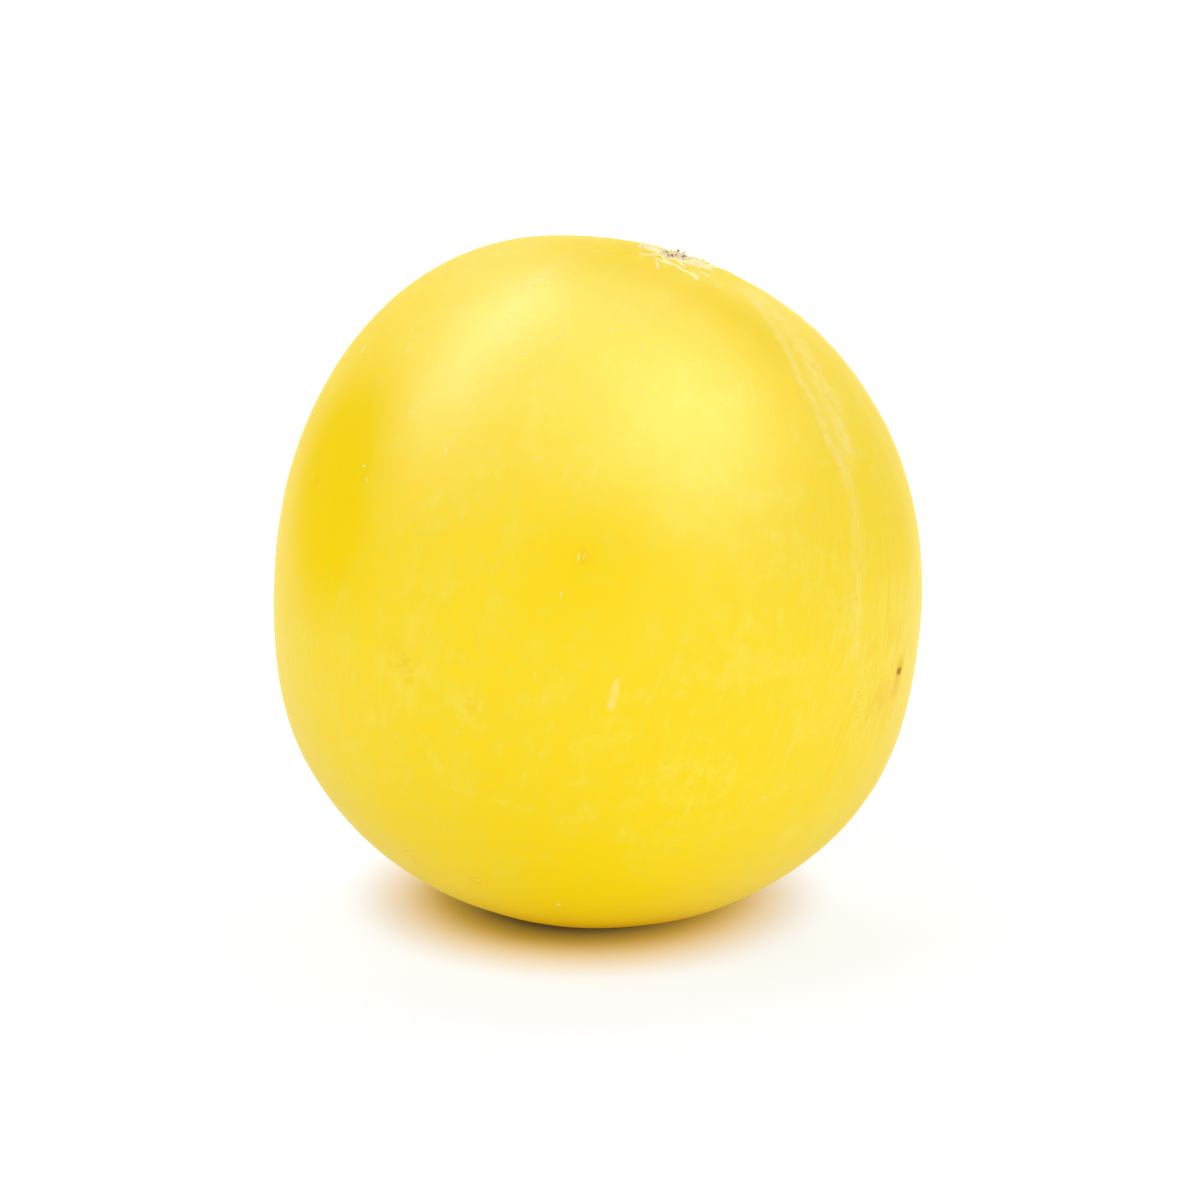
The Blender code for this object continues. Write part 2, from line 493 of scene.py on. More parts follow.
# the netted streak on the right shoulder: its sharp line, the soft field beside it and its broken tail
streakLine = seenRoute((744, 289), (758, 307), (780, 338), (800, 379), (814, 402), (829, 442), (840, 460))
streakBright = seenRoute((816, 404), (829, 441), (838, 458))
streakField = seenRoute((758, 296), (784, 322), (806, 355), (823, 388), (838, 424), (846, 450))
streakTail = seenRoute((843, 468), (852, 498), (857, 530), (858, 575), (857, 615), (855, 650))
paleBand = ((218, 17), (222, 30), (230, 43))

# scuffed skin along a route: width in degrees and strength
scuffRoutes = (
    (streakLine, 0.9, 0.75),
    (streakField, 2.6, 0.60),
    (streakTail, 1.6, 0.40),
    (paleBand, 2.6, 0.25),
)

# broad darker and paler places: around, down and spread in degrees, and strength
# the deep places are partly the rind's deeper yellow and partly painted shade: the foot, the band on the
# left, the top and the right edge are painted darker and made to reflect less
deepAndShadedPlaces = (
    (206, 70, 14, 1.0),
    (211, 82, 13, 0.9),
    (218, 93, 12, 0.6),
    (268, 76, 13, 0.5),
    (258, 84, 14, 0.35),
    (262, 38, 9, 0.2),
    (285, 140, 24, 1.0),
    (222, 15, 13, 0.8),
    (292, 20, 10, 0.5),
    (312, 30, 11, 0.5),
    (337, 66, 14, 0.55),
    (338, 88, 2.5, 0.9),
)
palePlaces = ((292, 118, 12, 0.25), (230, 105, 22, 0.4), (345, 88, 28, 0.6), (300, 75, 14, 0.4))

# faint brownish smudges: place in the photograph, reach in degrees and strength
smudgePlaces = (
    (399, 659, 2.2, 0.8), (408, 672, 1.6, 0.6), (470, 704, 1.6, 0.7), (410, 856, 1.8, 0.6),
    (475, 881, 1.6, 0.6), (315, 482, 1.0, 0.8), (878, 704, 3.4, 0.6), (893, 640, 3.0, 0.35),
    (851, 601, 1.6, 0.5), (869, 650, 1.8, 0.5), (583, 557, 1.0, 0.9), (886, 690, 2.2, 0.5),
)


def apartOnRind(heading, around, down):
    return math.degrees(heading.angle(headingAt(around, down)))


def strengthAt(heading, places):
    total = 0
    for around, down, spread, strength in places:
        total += strength * bell(apartOnRind(heading, around, down), spread)
    return total


def routeHeadings(route, steps):
    headings = [headingAt(*place) for place in route]
    fine = []
    for start, end in zip(headings, headings[1:]):
        fine += [start.lerp(end, step / steps).normalized() for step in range(steps)]
    return fine + [headings[-1]]


def awayFromRoute(heading, headings):
    return math.degrees(min(heading.angle(other) for other in headings))


def paintSurface(obj, name, values):
    layer = obj.data.attributes.new(name, "FLOAT", "POINT")
    layer.data.foreach_set("value", values)


def skinRelief(point):
    own = ownPoint(point)
    around, down = ownAngles(point)
    waveHeight, waveCount = skin["waves"]
    rippleHeight, rippleCount = skin["ripples"]
    height = waveHeight * noise.noise(own * waveCount) + rippleHeight * noise.noise(own * rippleCount)
    turn = math.radians(around)
    middle, spread = skin["pleatPlace"]
    sway = sum(far * math.sin(often * turn) for far, often in skin["pleatSways"])
    pleat = math.cos(skin["pleatCount"] * turn + sway) * bell(down - middle, spread)
    return height + skin["pleatHeight"] * pleat


def finerCopy(name, cad):  # with its triangles joined into quads and divided again
    obj = bpy.data.objects.new(name, cad.data.copy())
    bpy.context.collection.objects.link(obj)
    obj.data.materials.clear()
    selectOnly(obj)
    bpy.ops.mesh.customdata_custom_splitnormals_clear()
    bpy.ops.object.mode_set(mode="EDIT")
    bpy.ops.mesh.select_all(action="SELECT")
    bpy.ops.mesh.remove_doubles(threshold=skin["weld"])
    faceAngle, shapeAngle = (math.radians(angle) for angle in skin["quadAngles"])
    bpy.ops.mesh.tris_convert_to_quads(face_threshold=faceAngle, shape_threshold=shapeAngle)
    bpy.ops.mesh.mark_sharp(clear=True)
    bpy.ops.object.mode_set(mode="OBJECT")
    finer = obj.modifiers.new("finer", "SUBSURF")
    finer.levels = finer.render_levels = skin["subdivisions"]
    bpy.ops.object.modifier_apply(modifier="finer")
    return obj


def paintSkin(obj):
    routes = [(routeHeadings(route, skin["routeSteps"]), *rest) for route, *rest in scuffRoutes]
    smudges = [((seenPoint(x, y) - melon["middle"]).normalized(), w, s) for x, y, w, s in smudgePlaces]
    layers = {"deepnessAndShade": [], "paleness": [], "scuff": [], "smudge": [], "streaky": []}
    for vert in obj.data.vertices:
        heading = (vert.co - melon["middle"]).normalized()
        layers["deepnessAndShade"].append(strengthAt(heading, deepAndShadedPlaces))
        layers["paleness"].append(strengthAt(heading, palePlaces))
        layers["scuff"].append(sum(s * bell(awayFromRoute(heading, route), w) for route, w, s in routes))
        layers["smudge"].append(sum(s * bell(math.degrees(heading.angle(at)), w) for at, w, s in smudges))
        layers["streaky"].append(strengthAt(heading, (skin["streaky"],)))
    for name, values in layers.items():
        paintSurface(obj, name, values)


def makeSkin():
    obj = finerCopy("melonSkin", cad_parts["melon"])
    paintSkin(obj)
    for vert in obj.data.vertices:
        vert.co += (vert.co - melon["middle"]).normalized() * skinRelief(vert.co)
        vert.co.z = max(vert.co.z, 0)
    bpy.ops.object.shade_smooth()
    return obj


melonSkin = makeSkin()
rindTree = BVHTree.FromObject(melonSkin, bpy.context.evaluated_depsgraph_get())
print("skin:", len(melonSkin.data.polygons), "faces")


def onRind(heading):  # the rind's point and outward normal straight out of the middle
    return rindTree.ray_cast(melon["middle"], heading)[:2]


def atPixel(x, y):  # the same, behind a pixel of the photograph
    return rindTree.ray_cast(camera.location, rayThrough(x, y))[:2]


def ownPixel(x, y):
    return ownPoint(atPixel(x, y)[0])


melonSkin.data.materials.append(rindMaterial())
corkFinish = corkMaterial()


# the cork of the stem scar

stemScar = {
    "reach": 0.0225,  # half of the sheet's width
    "cells": 230,
    "ring": 0.0073,
    "ringWaves": ((0.10, 2, 0.6), (0.06, 5, 1.9)),  # size, number round the ring and turn, as in the solid
    "ringEdge": (0.0016, -0.0004),  # where the ring's cork starts and where it is whole, next to its radius
    "ringStrength": 1.3,
    "tongueStrength": 1.2,
    "tongueFade": 3,  # half-widths from its middle, where a tongue ends
    "frays": ((0.22, 0, 1500), (0.45, 0.01, 500)),  # strength, layer and scale of the noise at the edges
    "bareBelow": 0.55,  # the strength at which the cork starts
    "wholeAt": 0.5,  # the strength above that at which it has its full height
    "rise": 0.00034,
    "uneven": (0.45, 1.0),  # shares of the rise in the hollows and on the tops
    "roughness": (0.02, 900),  # layer and scale
    "sink": 0.0003,  # how deep the sheet dips under the rind where there is no cork
    "sinkSlope": 4,
    "cracks": (7, 330),  # scales of the cells between them, round the stem and outwards
    "crackEdge": (0.02, 0.16),  # from the line between two cells
    "crackDepth": 0.75,
    "heart": Vector((0, 0.0045)),  # the middle of the darker, broken part
    "heartEdge": (0.0052, 0.0026),
    "heartDepth": 0.5,
    "heartBumps": (0.0002, 0.03, 1700),  # height, layer and scale
    "heartAge": 0.36,
    "heartSpeckle": (0.5, 1.4),
    "crackAge": 0.3,
    "tipAge": -0.5,  # the cork is younger away from the stem
    "tipReach": (0.0060, 0.0130),
}

# cork tongues and islands seen in the photograph: two places, by around and distance from the stem in
# millimetres, and half of the width in millimetres
scarTongues = (
    ((232, 13.3), (239, 10.9), 0.40),
    ((239, 10.9), (252, 8.2), 0.45),
    ((250, 9.0), (262, 12.6), 0.5),
    ((247, 12.4), (262, 12.6), 0.6),
    ((262, 12.6), (274, 14.8), 0.7),
    ((268, 8.0), (280, 12.5), 0.55),
    ((274, 14.8), (284, 17.0), 0.55),
    ((253, 14.9), (258, 18.4), 0.36),
    ((284.5, 17.0), (286.4, 19.1), 0.8),
    ((297, 13.2), (304, 14.7), 0.36),
    ((304, 13.7), (300.4, 15.6), 0.4),
    ((300.4, 19.9), (300.4, 20.3), 0.35),
)

# more of them for the hidden side of the ring, drawn at random; degrees and millimetres
hiddenTongues = {
    "seed": 7,
    "count": 13,
    "around": (-35, 170),
    "jitter": (0.1, 0.9),  # place within each one's share of the way round
    "start": (7.0, 9.5),
    "lengths": (1.5, 2.5, 4.0, 6.0),
    "lengthShare": (0.7, 1.2),
    "swing": 9,  # how far the outer end may lie to the side
    "halfWidth": (0.3, 0.8),
}


def flatPlace(around, millimetres):
    turn = math.radians(around)
    return Vector((math.cos(turn), math.sin(turn))) * millimetres / 1000


def scarRing(turn):
    waves = sum(size * math.cos(count * turn + start) for size, count, start in stemScar["ringWaves"])
    return stemScar["ring"] * (1 + waves)


def allTongues():
    rng = random.Random(hiddenTongues["seed"])
    tongues = [(flatPlace(*a), flatPlace(*b), width / 1000) for a, b, width in scarTongues]
    for k in range(hiddenTongues["count"]):
        share = (k + rng.uniform(*hiddenTongues["jitter"])) / hiddenTongues["count"]
        around = between(*hiddenTongues["around"], share)
        start = rng.uniform(*hiddenTongues["start"])
        length = rng.choice(hiddenTongues["lengths"]) * rng.uniform(*hiddenTongues["lengthShare"])
        end = flatPlace(around + eitherSide(rng, hiddenTongues["swing"]), start + length)
        tongues.append((flatPlace(around, start), end, rng.uniform(*hiddenTongues["halfWidth"]) / 1000))
    return tongues


def awayFromSegment(place, start, end):
    run = end - start
    share = min(max((place - start).dot(run) / run.length_squared, 0), 1)
    return (place - start - run * share).length


def scarField(place, tongues):  # above 0 where there is cork
    ring = scarRing(math.atan2(place.y, place.x))
    outer, whole = stemScar["ringEdge"]
    field = stemScar["ringStrength"] * smooth(ring + outer, ring + whole, place.length)
    for start, end, width in tongues:
        away = awayFromSegment(place, start, end)
        if away < stemScar["tongueFade"] * width:
            field += stemScar["tongueStrength"] * bell(away, width)
    for strength, layer, scale in stemScar["frays"]:
        field += strength * roughAt(place, layer, scale)
    return field - stemScar["bareBelow"]


def scarCrack(place):  # 1 in a crack, 0 between two of them
    ring, outwards = stemScar["cracks"]
    turn = math.atan2(place.y, place.x)
    spread = Vector((math.cos(turn) * ring, math.sin(turn) * ring, place.length * outwards))
    near = noise.voronoi(spread)[0]
    return 1 - smooth(*stemScar["crackEdge"], near[1] - near[0])


def scarHeight(place, tongues):  # the height of the cork above the rind, and its age
    field = scarField(place, tongues)
    if field < 0:
        return -stemScar["sink"] * min(-field * stemScar["sinkSlope"], 1), 0
    crack = scarCrack(place)
    inner = smooth(*stemScar["heartEdge"], (place - stemScar["heart"]).length)
    rough = 0.5 + 0.5 * roughAt(place, *stemScar["roughness"])
    height = stemScar["rise"] * smooth(0, stemScar["wholeAt"], field) * between(*stemScar["uneven"], rough)
    height *= (1 - stemScar["crackDepth"] * crack) * (1 - stemScar["heartDepth"] * inner)
    bumpHeight, layer, scale = stemScar["heartBumps"]
    height += inner * bumpHeight * roughAt(place, layer, scale)
    age = stemScar["heartAge"] * inner * between(*stemScar["heartSpeckle"], rough)
    age += stemScar["crackAge"] * crack * inner
    age += stemScar["tipAge"] * smooth(*stemScar["tipReach"], place.length)
    return height, age


cutDepth = 0.0001  # what a laid sheet has deeper under the rind is taken away


def layOnRind(name, settings, headingOf, heightOf):  # a fine grid laid on the rind
    cells, reach = settings["cells"], settings["reach"]
    bpy.ops.mesh.primitive_grid_add(x_subdivisions=cells, y_subdivisions=cells, size=1)
    obj = bpy.context.object
    obj.name = name
    ages, under = [], []
    for vert in obj.data.vertices:
        place = Vector((vert.co.x * 2 * reach, vert.co.y * 2 * reach))
        point, normal = onRind(headingOf(place))
        height, age = heightOf(place)
        vert.co = point + normal * height
        ages.append(age)
        under.append(height < -cutDepth)
    paintSurface(obj, "age", ages)
    selectOnly(obj)
    for vert in obj.data.vertices:
        vert.select = under[vert.index]
    for edge in obj.data.edges:
        edge.select = False
    for face in obj.data.polygons:
        face.select = all(under[index] for index in face.vertices)
    bpy.ops.object.mode_set(mode="EDIT")
    bpy.context.tool_settings.mesh_select_mode = (False, False, True)
    bpy.ops.mesh.delete(type="FACE")
    bpy.ops.object.mode_set(mode="OBJECT")
    bpy.ops.object.shade_smooth()
    obj.data.materials.append(corkFinish)
    return obj


def headingFromStem(place):
    around, down = math.atan2(place.y, place.x), place.length / melon["radius"]
    return headingAt(math.degrees(around), math.degrees(down))


def makeStemScar():
    tongues = allTongues()
    return layOnRind("stemScar", stemScar, headingFromStem, lambda place: scarHeight(place, tongues))


scarPiece = makeStemScar()
print("stem scar:", len(scarPiece.data.polygons), "faces")


# the cork of the blossom scar, under the melon

blossomScar = {
    "reach": 0.008,  # half of the sheet's width
    "cells": 90,
    "radius": 0.0055,
    "ragged": (0.0007, 0.05, 700),  # reach, layer and scale of the noise at the edge
    "edge": (0.0004, -0.0006),
    "rise": 0.00022,
    "uneven": (0.4, 1.0),  # shares of the rise in the hollows and on the tops
    "roughness": (0.07, 1300),  # layer and scale
    "sink": 0.0003,
    "age": 0.35,
    "edgeAge": 0.4,
    "middleAge": 0.55,
    "middle": (0.0030, 0.0010),  # from and to, outwards in
}


def headingFromBlossom(place):  # mirrored, so that the faces point down
    around, up = math.atan2(-place.y, place.x), place.length / melon["radius"]
    return headingAt(math.degrees(around), 180 - math.degrees(up))


def blossomHeight(place):  # the height of the cork above the rind, and its age
    reach, layer, scale = blossomScar["ragged"]
    radius = blossomScar["radius"] + reach * roughAt(place, layer, scale)
    outer, whole = blossomScar["edge"]
    body = smooth(radius + outer, radius + whole, place.length)
    if body <= 0:
        return -blossomScar["sink"], 0
    rough = 0.5 + 0.5 * roughAt(place, *blossomScar["roughness"])
    height = blossomScar["rise"] * between(*blossomScar["uneven"], rough) * body
    age = blossomScar["age"] + blossomScar["edgeAge"] * rough * (1 - body)
    age += blossomScar["middleAge"] * smooth(*blossomScar["middle"], place.length)
    return height - blossomScar["sink"] * (1 - body), age


blossomPiece = layOnRind("blossomScar", blossomScar, headingFromBlossom, blossomHeight)


# broken fibre ends that stand in the bowl of the stem scar

stemFibres = {
    "seed": 11,
    "count": 24,
    "ring": (0.0006, 0.0044),
    "turns": 5,  # from the first to the last they go round five times
    "stray": 20,  # degrees
    "corners": 7,
    "radius": (0.00018, 0.00050),
    "length": (0.0006, 0.0016),
    "taper": 0.6,
    "raggedRadius": 0.3,  # shares of the radius and of the length
    "raggedLength": 0.15,
    "lean": 0.5,
    "ages": (-0.1, 1.0),
}


def makeStub(point, normal, radius, length, rng):
    corners, top = stemFibres["corners"], radius * stemFibres["taper"]
    bpy.ops.mesh.primitive_cone_add(vertices=corners, radius1=radius, radius2=top, depth=length)
    stub = bpy.context.object
    for vert in stub.data.vertices:
        vert.co.x += radius * eitherSide(rng, stemFibres["raggedRadius"])
        vert.co.y += radius * eitherSide(rng, stemFibres["raggedRadius"])
        vert.co.z += length * eitherSide(rng, stemFibres["raggedLength"])
    lean = Vector((eitherSide(rng, stemFibres["lean"]), eitherSide(rng, stemFibres["lean"]), 0))
    turn = (normal + lean).to_track_quat("Z", "Y").to_matrix().to_4x4()
    stub.data.transform(Matrix.Translation(point) @ turn)
    return stub


def joinAll(parts, name):
    selectOnly(parts[0])
    for part in parts:
        part.select_set(True)
    bpy.ops.object.join()
    joined = bpy.context.object
    joined.name = name
    joined.location = (0, 0, 0)
    return joined


def makeFibres():
    rng = random.Random(stemFibres["seed"])
    stubs, ages = [], []
    for k in range(stemFibres["count"]):
        arc = rng.uniform(*stemFibres["ring"])
        around = 360 * k / stemFibres["count"] * stemFibres["turns"] + eitherSide(rng, stemFibres["stray"])
        point, normal = onRind(headingFromStem(flatPlace(around, arc * 1000) + stemScar["heart"]))
        radius, length = rng.uniform(*stemFibres["radius"]), rng.uniform(*stemFibres["length"])
        stubs.append(makeStub(point, normal, radius, length, rng))
        ages += [rng.uniform(*stemFibres["ages"])] * len(stubs[-1].data.vertices)
    obj = joinAll(stubs, "stemFibres")
    paintSurface(obj, "age", ages)
    obj.data.materials.append(corkFinish)
    return obj


fibrePiece = makeFibres()


# small scabs: pale specks and bars of cork that stand on the rind

# places in the photograph, with length and width in pixels and the turn of the long side from upright
seenScabs = {
    "bright shoulder speck": (541, 276, 6, 3, 80),
    "smear beside it": (534, 285, 5, 2, 60),
    "upper pair left": (510, 282, 3, 2, 20),
    "upper pair": (513, 312, 4, 2, 10),
    "upper pair right": (516, 314, 3, 2, 0),
    "upper lone": (508, 323, 3, 2, 30),
    "flat bar": (524, 354, 8, 1.6, 85),
    "slanted line": (560, 336, 13, 1.3, 32),
    "ring mark": (611, 331, 5, 3.5, 60),
    "right of it": (641, 346, 5, 2, 0),
    "below it": (640, 390, 3, 2, 0),
    "small middle": (542, 381, 4, 1.6, 5),
    "small middle high": (537, 364, 4, 1.4, 5),
    "left high": (414, 330, 5, 2.6, 75),
    "left streak": (408, 350, 8, 1.4, 15),
    "left spot": (411, 412, 5, 4, 40),
    "left smear": (416, 404, 6, 1.6, 25),
    "slanted bar": (447, 450, 14, 1.8, 14),
    "flat dash": (536, 459, 7, 1.5, 88),
    "far left speck": (364, 466, 4, 3, 70),
    "far left dash": (367, 480, 7, 1.6, -40),
    "middle scratch left": (579, 557, 9, 1.4, 16),
    "middle scratch right": (584, 556, 7, 1.2, 12),
    "lower scratch": (561, 595, 6, 1.6, 4),
    "faint low": (534, 675, 4, 1.5, 60),
    "low front": (558, 905, 4, 3, 20),
    "low left": (332, 775, 4, 1.6, 10),
    "lowest left": (409, 854, 6, 2.4, 60),
    "lowest left low": (477, 880, 5, 2.2, 70),
    "left edge high": (286, 640, 9, 1.6, -14),
    "left edge low": (291, 660, 9, 1.6, -16),
    "left limb": (279, 556, 6, 3, 0),
}

scabs = {
    "seed": 23,
    "height": 0.24,  # to the width
    "sink": 0.25,  # how deep its middle lies, as a share of half its height
    "lumps": (0.45, 1.6),  # how much they swell, and how closely
    "patterns": 50,  # each scab takes its lumps from its own part of the noise
    "leastSlope": 0.35,  # limits how much a scab is drawn out where the rind turns away
    "ages": (-1.0, -0.6),
}

# more of them on the sides and back, away from the camera; lengths and widths in millimetres
hiddenScabs = {
    "count": 46,
    "around": (-20, 195),
    "height": (-0.75, 0.93),  # from the blossom end, -1, to the stem, 1
    "swing": 20,  # degrees from lengthwise
    "tilt": 0.1,
    "lengths": (0.8, 1.2, 2.0, 3.2),
    "lengthShare": (0.8, 1.2),
    "width": (0.3, 0.7),
    "ages": (-0.8, 0.1),
}


def makeScab(point, normal, along, length, width, rng):
    bpy.ops.mesh.primitive_ico_sphere_add(subdivisions=2, radius=1)
    scab = bpy.context.object
    seed = Vector((rng.uniform(0, scabs["patterns"]), rng.uniform(0, scabs["patterns"]), 0))
    side = normal.cross(along).normalized()
    along = side.cross(normal).normalized()
    turn = Matrix((along, side, normal)).transposed().to_4x4()
    size = Matrix.Diagonal((length / 2, width / 2, width * scabs["height"], 1))
    swell, scale = scabs["lumps"]
    for vert in scab.data.vertices:
        vert.co *= 1 + swell * noise.noise(vert.co * scale + seed)
        vert.co.z -= scabs["sink"]
    scab.data.transform(Matrix.Translation(point) @ turn @ size)
    return scab


def seenScab(x, y, length, width, turn, rng):
    point, normal = atPixel(x, y)
    right, up = cameraAxes()[:2]
    slope = math.radians(turn)
    upright = right * math.sin(slope) + up * math.cos(slope)
    along = (upright - normal * upright.dot(normal)).normalized()
    stretch = 1 / max(abs(along.dot(upright)), scabs["leastSlope"])
    metre = 1 / photo["pixelsPerMetre"]
    return makeScab(point, normal, along, length * metre * stretch, width * metre, rng)


def hiddenScab(rng):
    around = rng.uniform(*hiddenScabs["around"])
    down = math.degrees(math.acos(rng.uniform(*hiddenScabs["height"])))
    point, normal = onRind(headingAt(around, down))
    along = headingAt(around, down + 90 + eitherSide(rng, hiddenScabs["swing"]))
    along += normal * eitherSide(rng, hiddenScabs["tilt"])
    length = rng.choice(hiddenScabs["lengths"]) * rng.uniform(*hiddenScabs["lengthShare"])
    width = rng.uniform(*hiddenScabs["width"])
    return makeScab(point, normal, along, length / 1000, width / 1000, rng)


def makeScabs():
    rng = random.Random(scabs["seed"])
    pieces, ages = [], []
    for settings in seenScabs.values():
        pieces.append(seenScab(*settings, rng))
        ages += [rng.uniform(*scabs["ages"])] * len(pieces[-1].data.vertices)
    for k in range(hiddenScabs["count"]):
        pieces.append(hiddenScab(rng))
        ages += [rng.uniform(*hiddenScabs["ages"])] * len(pieces[-1].data.vertices)
    obj = joinAll(pieces, "rindScabs")
    paintSurface(obj, "age", ages)
    bpy.ops.object.shade_smooth()
    obj.data.materials.append(corkFinish)
    return obj


scabPiece = makeScabs()
print("scabs:", len(scabPiece.data.polygons), "faces")


# fine cork threads: the netted streak on the right shoulder and shorter ones on the hidden sides

threads = {
    "seed": 5,
    "routeSteps": 10,
    "points": 7,
    "halfWidth": (0.00005, 0.00011),
    "thinnest": 0.35,  # share of the width at the tips
    "tip": 0.6,  # points by which the taper goes on past each end
    "length": (0.0012, 0.0045),
    "drift": (0.5, 0.35),  # at the start, and its change at each point
    "sway": 0.5,
    "crossing": 0.08,  # share of the threads that run across the others
    "crossingSlope": (0.6, 1.5),
    "ages": (-1.2, -0.75),
}

# routes of threads, how many, and how far they stray to either side in degrees
threadRoutes = (
    (streakLine, 44, 0.4),
    (streakBright, 16, 0.16),
    (streakField, 30, 1.5),
    (streakTail, 14, 1.2),
    (paleBand, 3, 1.6),
    (((60, 16), (62, 30), (58, 52), (61, 66)), 46, 1.5),
    (((112, 14), (109, 26), (110, 40)), 24, 1.2),
    (((155, 18), (157, 30), (153, 44)), 18, 1.4),
    (((8, 15), (9, 27), (6, 40)), 20, 1.2),
)


def threadStart(headings, stray, rng):  # where a thread starts, and which way it runs
    index = rng.randrange(len(headings) - 1)
    ahead = (headings[index + 1] - headings[index]).normalized()
    sideways = headings[index].cross(ahead).normalized()
    start = headings[index] + sideways * math.radians(rng.gauss(0, stray))
    if rng.random() < threads["crossing"]:
        turned = sideways * rng.choice((-1, 1)) * rng.uniform(*threads["crossingSlope"])
        ahead = (ahead + turned).normalized()
    return start.normalized(), ahead


def threadPath(heading, ahead, length, rng):
    firstDrift, change = threads["drift"]
    drift = eitherSide(rng, firstDrift)
    places = []
    for k in range(threads["points"]):
        point, normal = onRind(heading)
        places.append(point)
        sideways = normal.cross(ahead).normalized()
        drift += eitherSide(rng, change)
        step = (ahead + sideways * drift * threads["sway"]).normalized() * length / threads["points"]
        heading = (heading + step / melon["radius"]).normalized()
    return places


def addThread(curve, path, width):
    spline = curve.splines.new("POLY")
    spline.points.add(len(path) - 1)
    for place, point in enumerate(path):
        taper = math.sin(math.pi * (place + threads["tip"]) / (len(path) - 1 + 2 * threads["tip"]))
        spline.points[place].co = (*point, 1)
        spline.points[place].radius = width * between(threads["thinnest"], 1, taper)


def makeThreads():
    rng = random.Random(threads["seed"])
    curve = bpy.data.curves.new("netThreads", "CURVE")
    curve.dimensions = "3D"
    curve.bevel_depth = 1.0
    curve.bevel_resolution = 0
    curve.use_fill_caps = True
    ages = []
    for route, count, stray in threadRoutes:
        headings = routeHeadings(route, threads["routeSteps"])
        for k in range(count):
            start, ahead = threadStart(headings, stray, rng)
            path = threadPath(start, ahead, rng.uniform(*threads["length"]), rng)
            addThread(curve, path, rng.uniform(*threads["halfWidth"]))
            ages.append(rng.uniform(*threads["ages"]))
    obj = bpy.data.objects.new("netThreads", curve)
    bpy.context.collection.objects.link(obj)
    selectOnly(obj)
    bpy.ops.object.convert(target="MESH")
    obj = bpy.context.object
    corners = len(obj.data.vertices) // len(ages)  # the same for every thread
    paintSurface(obj, "age", [age for age in ages for corner in range(corners)])
    bpy.ops.object.shade_smooth()
    obj.data.materials.append(corkFinish)
    return obj


threadPiece = makeThreads()
print("threads:", len(threadPiece.data.polygons), "faces")


# floor and light

stage = {
    "floorSize": 16,
    "floorColour": (0.214, 0.213, 0.212, 1),
    "shadowMiddle": (-0.0053, 0.0235, 0),
    "shadowStretch": (0.914, 1.34, 1),
    "glow": 0.82,  # painted light of the floor away from the melon; it falls to nothing close to the melon as a painted shadow
    "glowColour": (1, 1, 1, 1),
    "paintedShadowEdge": (0.0360, 0.0684),
    "leastGlow": 0.001,  # keeps the mixing from dividing by nothing
    "farGlow": 0.43,
    "farReach": (0.09, 0.25),
    "bounce": 0.97,  # painted yellow bounce light on the floor close by the melon
    "bounceColour": (1.0, 0.56, 0.01, 1),
    "bounceStretch": (0.885, 1.34, 1),
    "bounceInner": (0.0248, 0.0537),
    "bounceOuter": (0.0249, 0.0700),
    "worldTowards": (0.265, -0.164, 0.950),  # reflections are brightest from above
    "worldStrength": (0.0, 2.09),
}


def stretchedLength(tree, vector, stretch):
    drawn = vectorOf(tree, "DIVIDE", vector, stretch).outputs[0]
    return vectorOf(tree, "LENGTH", drawn).outputs["Value"]


# the floor's emission paints light and shade: a painted shadow round the melon, a ring of painted yellow
# bounce light, and an even glow further out
def floorMaterial():
    material, tree, shader = newMaterial("floor")
    shader.inputs["Base Color"].default_value = stage["floorColour"]
    shader.inputs["Roughness"].default_value = 1.0
    shader.inputs["Specular IOR Level"].default_value = 0.0
    coordinates = addNode(tree, "ShaderNodeTexCoord").outputs["Object"]
    moved = vectorOf(tree, "SUBTRACT", coordinates, stage["shadowMiddle"]).outputs[0]
    away = stretchedLength(tree, moved, stage["shadowStretch"])
    glow = ramp(tree, away, *stage["paintedShadowEdge"], 0.0, stage["glow"])
    glow = mathOf(tree, "ADD", glow, ramp(tree, away, *stage["farReach"], 0.0, stage["farGlow"]))
    near = stretchedLength(tree, moved, stage["bounceStretch"])
    inner = ramp(tree, near, *stage["bounceInner"], 0.0, stage["bounce"])
    outer = ramp(tree, near, *stage["bounceOuter"], 1.0, 0.0)
    total = mathOf(tree, "ADD", glow, mathOf(tree, "MULTIPLY", inner, outer))
    share = mathOf(tree, "DIVIDE", glow, mathOf(tree, "MAXIMUM", total, stage["leastGlow"]))
    colour = mixColours(tree, share, stage["bounceColour"], stage["glowColour"])
    setInput(tree, shader.inputs["Emission Color"], colour)
    setInput(tree, shader.inputs["Emission Strength"], total)
    return material


def makeFloor():
    bpy.ops.mesh.primitive_plane_add(size=stage["floorSize"])
    floor = bpy.context.object
    floor.name = "floor"
    floor.data.materials.append(floorMaterial())
    return floor


def makeWorld():
    world = bpy.data.worlds.new("studio")
    bpy.context.scene.world = world
    world.use_nodes = True
    tree = world.node_tree
    heading = addNode(tree, "ShaderNodeTexCoord").outputs["Generated"]
    towards = Vector(stage["worldTowards"]).normalized()
    facing = vectorOf(tree, "DOT_PRODUCT", heading, towards).outputs["Value"]
    strength = ramp(tree, facing, -1.0, 1.0, *stage["worldStrength"], kind="LINEAR")
    setInput(tree, tree.nodes["Background"].inputs["Strength"], strength)
    tree.nodes["Background"].inputs["Color"].default_value = (1, 1, 1, 1)
    world.cycles_visibility.diffuse = False


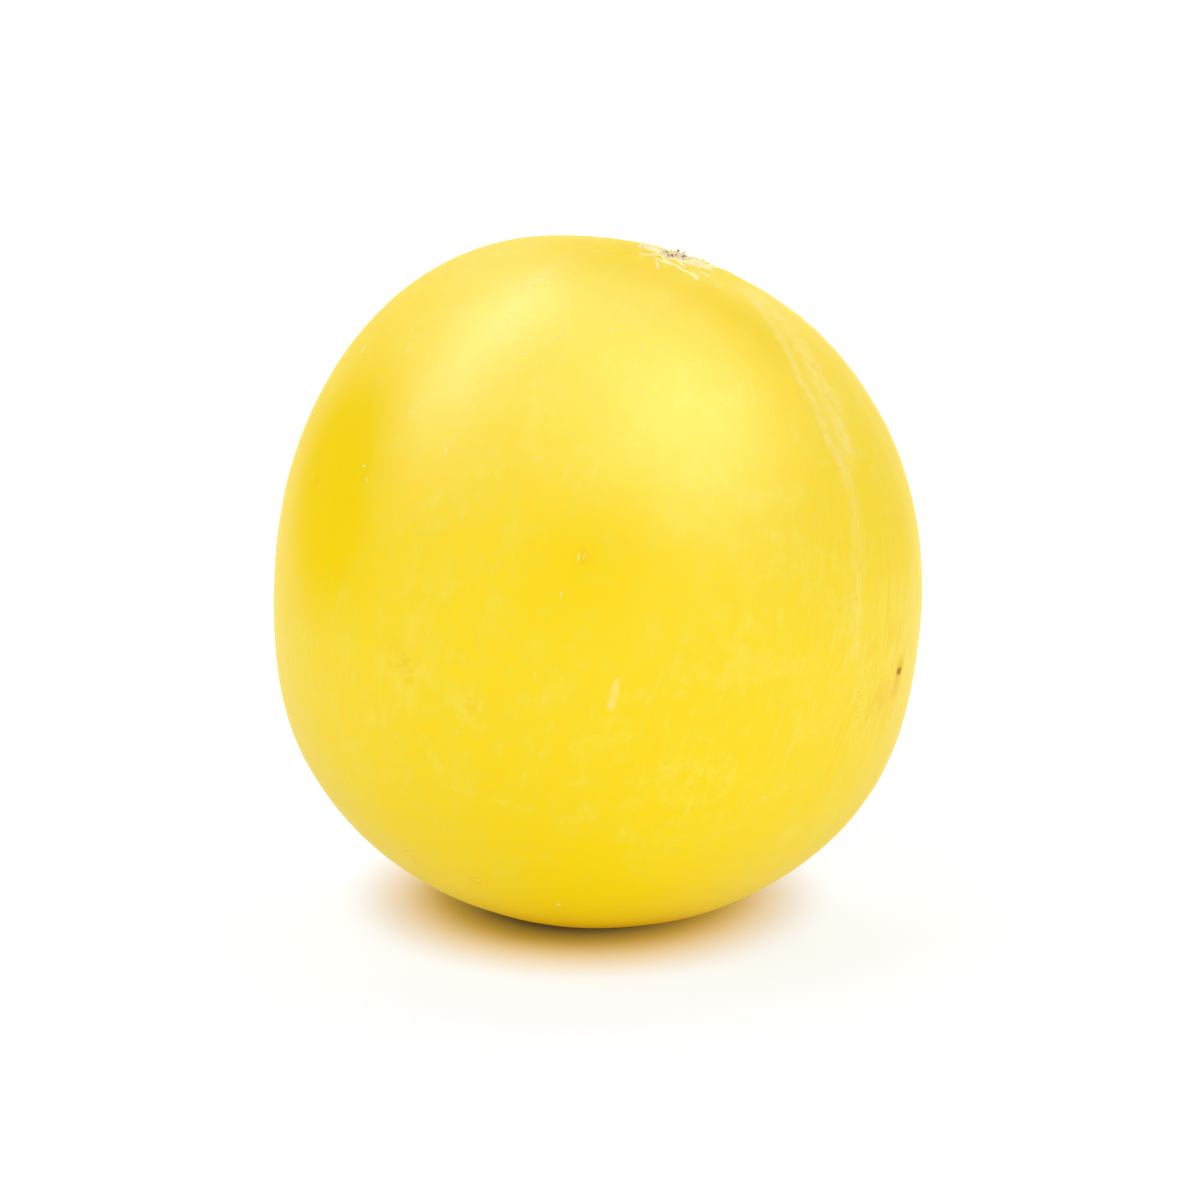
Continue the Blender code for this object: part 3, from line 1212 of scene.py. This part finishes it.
# each lamp: where it stands round the melon, its size and turn, its radiance and what it lights
lamps = {
    "rightGloss": {"azimuth": 50.5, "height": 52.7, "away": 1.5, "size": (1.35, 1.40), "turn": 30.7,
                   "radiance": 12.0, "gloss": True, "diffuse": False},
    "leftGloss": {"azimuth": -105.0, "height": 57.8, "away": 1.5, "size": (1.6, 0.30), "turn": -42.6,
                  "radiance": 30.0, "gloss": True, "diffuse": False},
    "ceilingGloss": {"azimuth": 0.0, "height": 70.0, "away": 2.2, "size": (3.4, 1.8), "turn": 0.0,
                     "radiance": 2.1, "gloss": True, "diffuse": False},
    "leftSoft": {"azimuth": -75.0, "height": 47.0, "away": 2.5, "size": (2.0, 2.0), "turn": 0.0,
                 "radiance": 2.5, "gloss": False, "diffuse": True},
    "frontLow": {"azimuth": 0.0, "height": 10.0, "away": 3.0, "size": (3.0, 0.8), "turn": 0.0,
                 "radiance": 4.8, "gloss": False, "diffuse": True},
    "rightLow": {"azimuth": 60.0, "height": 18.0, "away": 3.0, "size": (2.0, 1.2), "turn": 0.0,
                 "radiance": 3.1, "gloss": False, "diffuse": True},
    "rightBack": {"azimuth": 115.0, "height": 45.0, "away": 2.5, "size": (2.0, 2.0), "turn": 0.0,
                  "radiance": 0.7, "gloss": False, "diffuse": True},
    "backSoft": {"azimuth": 180.0, "height": 60.0, "away": 3.0, "size": (3.0, 2.0), "turn": 0.0,
                 "radiance": 3.7, "gloss": False, "diffuse": True},
}


def makeLamp(name, lamp):
    azimuth, height = math.radians(lamp["azimuth"]), math.radians(lamp["height"])
    level = math.cos(height)
    out = Vector((math.sin(azimuth) * level, -math.cos(azimuth) * level, math.sin(height)))
    sideways = Vector((0, 0, 1)).cross(out).normalized()
    turn = math.radians(lamp["turn"])
    across = sideways * math.cos(turn) + out.cross(sideways) * math.sin(turn)
    bpy.ops.object.light_add(type="AREA")
    light = bpy.context.object
    light.name = name
    light.data.shape = "RECTANGLE"
    light.data.size, light.data.size_y = lamp["size"]
    light.data.energy = lamp["radiance"] * math.pi * lamp["size"][0] * lamp["size"][1]
    place = Matrix.Translation(melon["middle"] + out * lamp["away"])
    light.matrix_world = place @ Matrix((across, out.cross(across), out)).transposed().to_4x4()
    light.visible_glossy = lamp["gloss"]
    light.visible_diffuse = lamp["diffuse"]
    light.visible_camera = False


floor = makeFloor()
makeWorld()
for lampName, lamp in lamps.items():
    makeLamp(lampName, lamp)
bpy.context.scene.view_settings.view_transform = "Standard"
print("floor and light")


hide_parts("melon")
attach(melonSkin, "root")
for piece in (scarPiece, blossomPiece, fibrePiece, scabPiece, threadPiece):
    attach(piece, "root")
